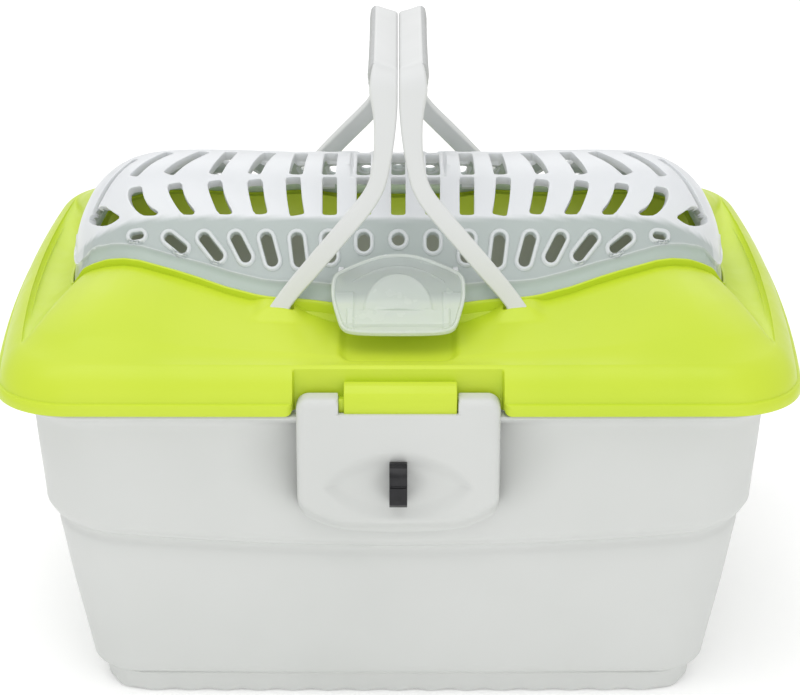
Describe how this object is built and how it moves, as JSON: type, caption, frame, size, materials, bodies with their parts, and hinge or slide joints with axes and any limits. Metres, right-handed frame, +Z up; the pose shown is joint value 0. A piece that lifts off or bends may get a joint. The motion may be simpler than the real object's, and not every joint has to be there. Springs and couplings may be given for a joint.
{
  "type": "pet carrier",
  "caption": "Small pet carrier: a deep tub, a hinged lid with a turn lock, a slotted translucent roof flap with a lift latch, and two fold-down carry handles.",
  "frame": {"origin": "middle of the carrier's footprint, on the surface it stands on", "axes": "+Z up, -Y towards the front with the turn lock, +X towards the right-hand side seen from the front"},
  "size_m": [0.44, 0.349, 0.339],
  "materials": {
    "grey_plastic": "satin moulded",
    "lime_plastic": "semi-gloss moulded",
    "milky_plastic": "translucent milky moulded",
    "black_plastic": "gloss",
    "grip_rubber": "ribbed soft grip",
    "pin_steel": "plain turned"
  },
  "bodies": {
    "base": {"base_tub": "grey_plastic", "lid_hinge_pin_left": "pin_steel", "lid_hinge_pin_right": "pin_steel"},
    "lid": {"lid": "lime_plastic", "handle_pin_left_front": "pin_steel", "handle_pin_left_back": "pin_steel", "handle_pin_right_front": "pin_steel", "handle_pin_right_back": "pin_steel", "flap_hinge_pin_left": "pin_steel", "flap_hinge_pin_right": "pin_steel"},
    "lock": {"lock_knob": "black_plastic", "lock_cam": "lime_plastic", "lock_washer": "pin_steel", "lock_screw": "pin_steel"},
    "handle_left": {"handle_left": "grey_plastic", "grip_pad_left": "grip_rubber"},
    "handle_right": {"handle_right": "grey_plastic", "grip_pad_right": "grip_rubber"},
    "flap": {"flap": "milky_plastic", "flap_latch_pin": "pin_steel"},
    "latch": {"flap_latch": "milky_plastic"}
  },
  "joints": [
    {"name": "lid_hinge", "type": "hinge", "parent": "base", "child": "lid", "pos_m": [0, 0.1695, 0.1719], "axis": [-1, 0, 0], "range_deg": [0, 100]},
    {"name": "lock_turn", "type": "hinge", "parent": "base", "child": "lock", "pos_m": [0, -0.165, 0.141], "axis": [0, -1, 0], "range_deg": [0, 90]},
    {"name": "handle_left_fold", "type": "hinge", "parent": "lid", "child": "handle_left", "pos_m": [-0.066, 0.003, 0.2125], "axis": [0, -1, 0], "range_deg": [0, 100]},
    {"name": "handle_right_fold", "type": "hinge", "parent": "lid", "child": "handle_right", "pos_m": [0.066, 0.003, 0.2125], "axis": [0, 1, 0], "range_deg": [0, 100]},
    {"name": "flap_open", "type": "hinge", "parent": "lid", "child": "flap", "pos_m": [0, 0.1045, 0.2145], "axis": [-1, 0, 0], "range_deg": [0, 3]},
    {"name": "latch_lift", "type": "hinge", "parent": "flap", "child": "latch", "pos_m": [0, -0.085, 0.2286], "axis": [-1, 0, 0], "range_deg": [0, 20]}
  ]
}
